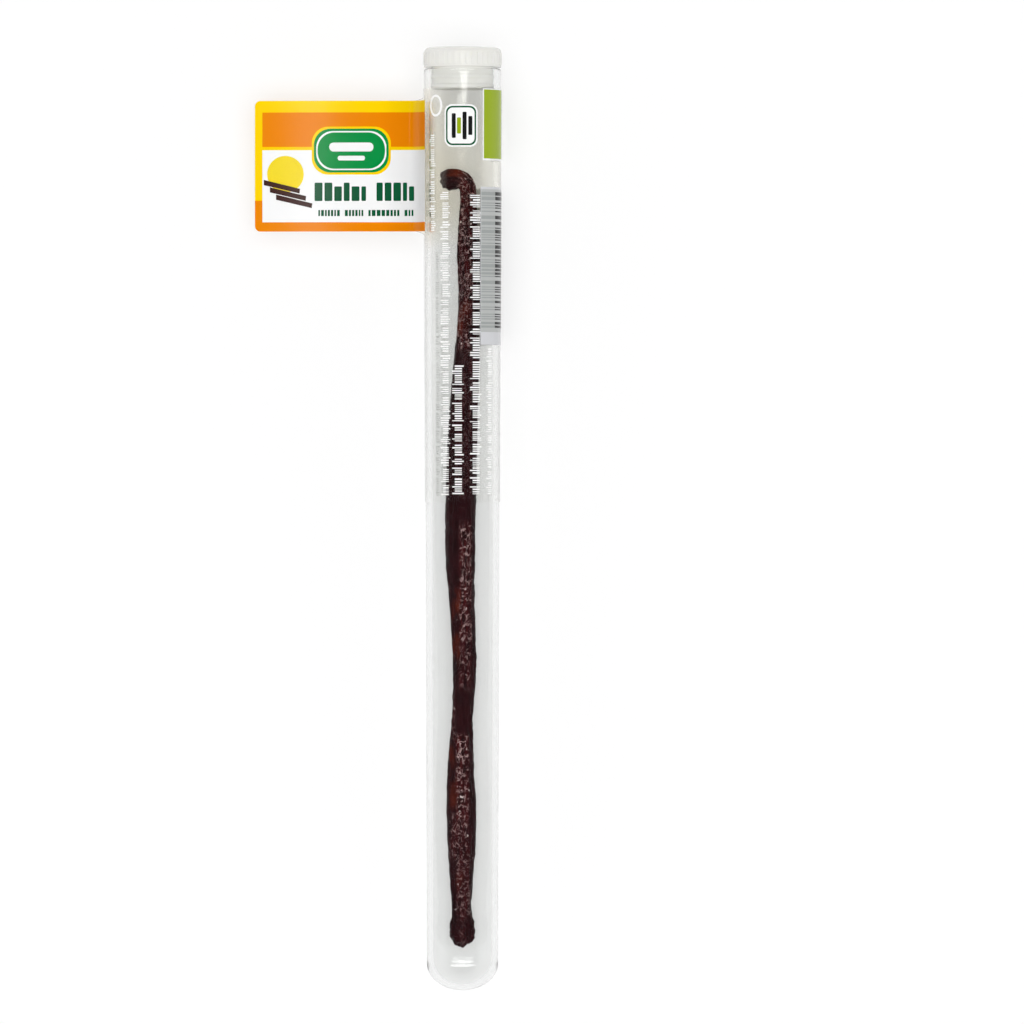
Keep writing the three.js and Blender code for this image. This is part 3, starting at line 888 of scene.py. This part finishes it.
def make_flag_print(side):
    """The flag's colour fields, blank blocks for its words and a plain badge, on one face of
    it."""
    rng = random.Random(11)
    prefix = "front" if side > 0 else "back"

    def place(x, y, lift):
        return on_flag(x, y, side, lift)

    def layer(name, outlines, ink_name, level):
        piece = printed(f"{prefix}_{name}", outlines, INK[ink_name], level, place, FLAG_STRIP)
        if side < 0:
            piece.data.flip_normals()

    end = PRINT_END_X if side > 0 else UNDER_PRINT_END_X
    outer_x, foot_top = -FLAG_REACH + FLAG_TRIM, 167.6 * MM
    layer("yellow_field", [rounded_flag(FLAG_TRIM, end)], "yellow", 0)
    layer("orange_band", [box(FIELD_LEFT, 179.0 * MM, end, 186.3 * MM)], "orange", 1)
    corner = arc(-FLAG_REACH + FLAG_CORNER, FLAG_LOW + FLAG_CORNER, FLAG_CORNER - FLAG_TRIM,
                 FLAG_CORNER - FLAG_TRIM, math.pi, 1.5 * math.pi, steps=6)
    foot = [(end, FLAG_LOW + FLAG_TRIM), (end, foot_top), (outer_x, foot_top), *corner]
    layer("orange_foot", [foot], "orange", 1)
    layer("white_panel", [box(FIELD_LEFT, 163.0 * MM, end, 178.3 * MM)], "paper white", 2)

    disc_x, disc_y, disc_radius = -37.6 * MM, 173.2 * MM, 3.9 * MM
    layer("sun_disc", [oval(disc_x, disc_y, disc_radius, disc_radius)], "petal yellow", 3)
    slants = []
    for step in range(3):
        x, y = disc_x - (4.6 - 1.3 * step) * MM, disc_y - (2.0 + 1.55 * step) * MM
        slants.append([(x, y - 0.3 * MM), (x + 7.6 * MM, y - 2.1 * MM),
                       (x + 7.7 * MM, y - 1.1 * MM), (x, y + 0.8 * MM)])
    layer("brown_slants", slants, "pod brown", 4)

    title = []
    for low, high in word_blocks(-31.4 * MM, -9.8 * MM, 1.4 * MM, 0.42 * MM, rng):
        rise = rng.choice((0, 0, 0.8))
        title.append(pill((low + high) / 2, (169.05 + rise / 2) * MM, (high - low) / 2,
                          (1.55 + rise / 2) * MM, 0.2 * MM, steps=3))
    layer("title_blocks", title, "deep green", 3)
    small = [box(low, 164.3 * MM, high, 165.6 * MM)
             for low, high in word_blocks(-30.6 * MM, -10.4 * MM, 0.62 * MM, 0.24 * MM, rng)]
    layer("small_blocks", small, "deep green", 3)

    badge_x, badge_y = -23.6 * MM, 178.2 * MM
    for name, ink_name, inset, level in (("rim", "yellow", 0.0, 3),
                                         ("field", "badge green", 0.45, 4),
                                         ("line", "paper white", 0.95, 5),
                                         ("heart", "badge green", 1.25, 6)):
        half_x, half_y = (8.4 - inset) * MM, (5.1 - inset) * MM
        rounding = min(half_y, 3.6 * MM) * 0.98
        outline = pill(badge_x, badge_y, half_x, half_y, rounding, steps=10)
        layer(f"badge_{name}", [outline], ink_name, level)
    plates = [pill(badge_x, badge_y + 0.75 * MM, 4.7 * MM, 0.95 * MM, 0.9 * MM),
              pill(badge_x, badge_y - 1.6 * MM, 2.9 * MM, 0.5 * MM, 0.45 * MM)]
    layer("badge_plates", plates, "paper white", 7)


# ------------------------------------------------------------------ pod

# in mm, sideways and along: the control points of the hook's curve
HOOK_CURVE = ((1.35, 164.5), (1.3, 173.2), (-0.5, 172.9), (-5.0, 171.7))
HOOK_STEPS = 12
SAME_GAP = 1e-9


def along_hook(share):
    """A point of the hook's centre line, a curve drawn by four control points."""
    points = [Vector(point) for point in HOOK_CURVE]
    while len(points) > 1:
        points = [start.lerp(end, share) for start, end in zip(points, points[1:])]
    return points[0]


POD_LINE = [Vector(point) * MM for point in ((-0.2, 9.0), (-0.3, 100.0), (1.4, 150.0))]
POD_LINE += [along_hook(step / HOOK_STEPS) * MM for step in range(HOOK_STEPS + 1)]


def pod_place(point):
    """A point of the pod as if the pod were straight: (sideways, along, up) from its centre
    line."""
    flat = Vector((point.x, point.y))
    best, travelled = None, 0.0
    for start, end in zip(POD_LINE, POD_LINE[1:]):
        run = end - start
        share = min(max((flat - start).dot(run) / run.length_squared, 0), 1)
        offset = flat - (start + run * share)
        if best is None or offset.length < best[0] - SAME_GAP:
            across = Vector((run.y, -run.x)).normalized()
            best = (offset.length, across.dot(offset), travelled + share * run.length)
        travelled += run.length
    return Vector((best[1], best[2], point.z))


# where painted highlights, pale crackle glints, lie on the pod's skin, and where it is rusty: from
# # and to along it, left and right across it, in mm, and how strongly
PAINTED_GLINT_ZONES = ((0.5, 4.5, -0.4, 0.9, 0.3), (6, 21, -0.9, 1.6, 0.5), (19, 28, -2.3, 1.3, 0.7),
            (27, 45, -1.0, 1.4, 1.2), (44, 55, -2.8, -1.3, 0.6), (55, 65, -0.3, 1.9, 0.5),
            (65, 90, -0.3, 2.0, 1.0), (96, 127, -1.5, 1.5, 0.2), (127, 158, -2.2, 0.7, 1.0),
            (157, 163.4, -1.6, 2.4, 1.5), (158.5, 163.2, -1.0, 1.5, 2.8))
RUSTY = ((9, 16, -1.2, 1.2, 0.3), (30, 43, -2.6, -0.8, 0.6), (60, 76, -1.8, -0.2, 0.8),
         (130, 137, -2.4, 0.2, 0.8), (163.8, 165.8, 0.3, 2.4, 2.2))
END_FADE = 1.2
SIDE_FADE = 0.3
KNOB_END = (4.2, 7.5)
CUT_END = (165, 167.5)
BORE_MARGIN = 0.03 * MM


def share_of(zones, straight):
    """How much of a zone's finish a point of the pod has, fading out at the zone's edges. On the
    pod's lower half, a zone runs right across."""
    x, along, z = straight / MM
    below = 0.7 * smoothstep(-z, 3.6, 4.6)
    most = 0.0
    for low, high, left, right, strength in zones:
        inside = (smoothstep(along, low - END_FADE, low + END_FADE)
                  * smoothstep(-along, -high - END_FADE, -high + END_FADE))
        across = (smoothstep(x, left - SIDE_FADE, left + SIDE_FADE)
                  * smoothstep(-x, -right - SIDE_FADE, -right + SIDE_FADE))
        most = max(most, strength * inside * max(across, below))
    return most


def pod_relief(straight):
    """Height of the skin's wrinkles, in millimetres: long ridges, short creases and a rougher
    knob and cut end. A swelling makes up for what rounding the facets takes off, a little more on
    the left."""
    x, along, z = straight / MM
    drift = noise.noise(Vector((x * 0.25, along * 0.08, z * 0.25)))
    ridge = 1 - abs(noise.noise(Vector((x * 1.3 + drift, along * 0.15, z * 1.3)))) * 2
    fine = 1 - abs(noise.noise(Vector((x * 2.9, along * 0.36 + 7, z * 2.9)))) * 2
    crease = noise.noise(Vector((x * 1.0, along * 0.9 + 3, z * 1.0)))
    nick = max(0, noise.noise(Vector((x * 0.8 + 9, along * 1.5, z * 0.8))) - 0.25)
    rough = noise.noise(Vector((x * 1.2, along * 1.2 + 11, z * 1.2)))
    calm = smoothstep(noise.noise(Vector((x * 0.35 + 5, along * 0.07, z * 0.35))), -0.15, 0.25)
    knob = 1 - smoothstep(along, *KNOB_END)
    cut_end = smoothstep(along, *CUT_END)
    swelling = (0.22 - 0.025 * x) * (1 - knob)
    return ((ridge - 0.6) * 0.26 * (0.4 + 0.6 * calm) + (fine - 0.6) * 0.12 * calm + crease * 0.11
            - nick * 0.3 + (rough * 0.7 + 0.09) * knob + rough * 0.5 * cut_end + swelling)


def bore_radius(y):
    """Inside radius of the tube's wall."""
    if y > SLEEVE_LOW:
        return upper_tube_radius(y) - TUBE_WALL
    share = (y - DOME_HEIGHT) / (SLEEVE_LOW - DOME_HEIGHT)
    return TUBE_FOOT_RADIUS + (TUBE_MIDDLE_RADIUS - TUBE_FOOT_RADIUS) * share - TUBE_WALL


def make_pod():
    source = frame["nodes"]["pod"]
    pick(source)
    bpy.ops.object.duplicate()
    pod = bpy.context.object
    pod.name = "pod_body"
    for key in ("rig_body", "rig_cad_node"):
        del pod[key]
    pod.parent = None
    edit(pod)
    bpy.ops.mesh.remove_doubles(threshold=MERGE_DISTANCE)
    bpy.ops.mesh.tris_convert_to_quads(face_threshold=math.pi, shape_threshold=math.pi)
    done()
    apply_modifier(pod, "SUBSURF", levels=2, render_levels=2)
    unlaid = LYING.inverted()
    moves, straights = [], []
    for vertex in pod.data.vertices:
        upright = unlaid @ vertex.co
        straight = pod_place(upright)
        straights.append(straight)
        room = bore_radius(upright.y) - math.hypot(upright.x, upright.z) - BORE_MARGIN
        moves.append(vertex.normal * min(pod_relief(straight) * MM, room))
    for vertex, move in zip(pod.data.vertices, moves):
        vertex.co += move
    attribute = pod.data.attributes.new("straight", "FLOAT_VECTOR", "POINT")
    flattened = [value for straight in straights for value in straight]
    attribute.data.foreach_set("vector", flattened)
    # painted highlights and the skin's real rust, as a share on each point
    for name, zones in (("painted_glints", PAINTED_GLINT_ZONES), ("rust", RUSTY)):
        share = pod.data.attributes.new(name, "FLOAT", "POINT")
        share.data.foreach_set("value", [share_of(zones, straight) for straight in straights])
    pick(pod)
    bpy.ops.object.shade_smooth()
    return finished(pod, pod_skin(), ["pod"])


# ------------------------------------------------------------------ studio

FRAME_WIDTH = 217.3 * MM  # how much of the level plane through the tube's axis the view takes in
CAMERA_HEIGHT = 1.9
CAMERA_X = 10.5 * MM
CAMERA_Y = 93.5 * MM
SENSOR_WIDTH = 36
LAMP_HEIGHT = 1.3
FLOOR_SIZE = 6
FLOOR_GAP = 0.1 * MM
CLEAR_BOUNCES = 20


def make_floor():
    bpy.ops.object.select_all(action="DESELECT")
    bpy.ops.mesh.primitive_plane_add(size=FLOOR_SIZE, location=(0, 0, -FLOOR_GAP))
    floor = bpy.context.object
    floor.name = "floor"
    floor.data.materials.append(light_table())


def make_softbox(name, place, size_x, size_y, radiance, shape="RECTANGLE", mirrored=True):
    """A soft lamp facing down. One kind lights the piece, also through the clear wall, and leaves
    no band in its gloss; the mirrored kind shows in the gloss alone."""
    bpy.ops.object.light_add(type="AREA", location=place)
    lamp = bpy.context.object
    lamp.name = name
    lamp.data.shape = shape
    lamp.data.size = size_x
    lamp.data.size_y = size_y
    lamp.data.energy = radiance * math.pi * size_x * size_y
    lamp.data.cycles.use_multiple_importance_sampling = mirrored
    lamp.visible_diffuse = not mirrored
    lamp.visible_glossy = mirrored
    lamp.visible_transmission = mirrored


def make_sky():
    """A light tent: bright near the floor, and dark overhead so that the clear wall shows what is
    inside."""
    world = bpy.data.worlds.new("studio")
    world.use_nodes = True
    tree = Nodes(world.node_tree)
    direction = tree.add("ShaderNodeTexCoord").outputs["Generated"]
    height = tree.fed(tree.add("ShaderNodeSeparateXYZ"), Vector=direction).outputs["Z"]
    tone = tree.ramp(height, (0.0, (0.85, 0.85, 0.855)), (0.45, (0.55, 0.55, 0.555)),
                     (0.68, (0.05, 0.05, 0.05)), (1.0, (0.02, 0.02, 0.02)))
    tree.join(tone, world.node_tree.nodes["Background"].inputs["Color"])
    bpy.context.scene.world = world


def make_camera():
    """Straight down on the tube, and framed to take in the whole part."""
    height = CAMERA_HEIGHT + TUBE_MOUTH_RADIUS
    bpy.ops.object.camera_add(location=(CAMERA_X, CAMERA_Y, height))
    camera = bpy.context.object
    camera.data.sensor_width = SENSOR_WIDTH
    camera.data.lens = camera.data.sensor_width * CAMERA_HEIGHT / FRAME_WIDTH
    camera.data.clip_start = 0.1
    bpy.context.scene.camera = camera


def make_studio():
    make_floor()
    make_sky()
    make_softbox("overhead_fill", (0, CAMERA_Y, 1.6), 2.2, 2.2, 2.3, mirrored=False)
    make_softbox("mouth_strip", (0.11, 0.275, LAMP_HEIGHT), 0.88, 0.11, 2.9, shape="ELLIPSE")
    make_softbox("foot_strip", (0, -0.185, LAMP_HEIGHT), 2.2, 0.135, 5, shape="ELLIPSE")
    make_softbox("flag_strip", (-0.2, 0.215, LAMP_HEIGHT), 0.05, 0.16, 5)
    make_camera()
    scene = bpy.context.scene
    scene.view_settings.view_transform = "Standard"
    scene.cycles.transmission_bounces = CLEAR_BOUNCES
    scene.cycles.transparent_max_bounces = CLEAR_BOUNCES
    scene.cycles.max_bounces = CLEAR_BOUNCES


def shine_only_on(lamp, pieces):
    """A lamp that shows in the gloss of these pieces and of no other."""
    lit = bpy.data.collections.new(f"{lamp} pieces")
    for piece in pieces:
        lit.objects.link(piece)
    bpy.data.objects[lamp].light_linking.receiver_collection = lit


CLEAR_FILM = clear_film()
INK = {
    "white": ink("white ink", (0.92, 0.92, 0.91, 1)),
    # the last number of the flag's inks is their painted shade at the flag's root
    "paper white": ink("panel ink", (0.9, 0.9, 0.9, 1), 0.01, 0.76),
    "thin grey": ink("backing ink", linear(204, 205, 208)),
    # painted shade for the bar backing
    "shade grey": ink("bar shade ink", linear(180, 182, 181)),
    # painted image of the far bars seen through the tube
    "painted ghost grey": ink("painted ghost bar ink", linear(156, 160, 158)),
    "yellow": ink("yellow ink", linear(252, 209, 0), 0.02, 0.76),
    "orange": ink("orange ink", linear(234, 132, 0), 0.02, 0.8),
    "leaf green": ink("leaf green ink", linear(148, 170, 25)),
    "petal yellow": ink("petal ink", linear(240, 214, 40)),
    "badge green": ink("badge green ink", linear(8, 140, 66)),
    "deep green": ink("deep green ink", linear(16, 84, 52)),
    "pod brown": ink("brown ink", linear(62, 34, 30)),
    "black": ink("black ink", linear(28, 28, 28)),
}

make_studio()
make_tube()
make_stopper()
make_sleeve()
make_flag_film()
make_sleeve_print()
make_flag_print(1)
make_flag_print(-1)
make_pod()

pieces = bpy.data.objects
shine_only_on("flag_strip", [piece for piece in pieces if piece.name.startswith("front_")])
walls = [pieces[name] for name in ("tube_wall", "stopper_body", "label_sleeve")]
shine_only_on("mouth_strip", walls)
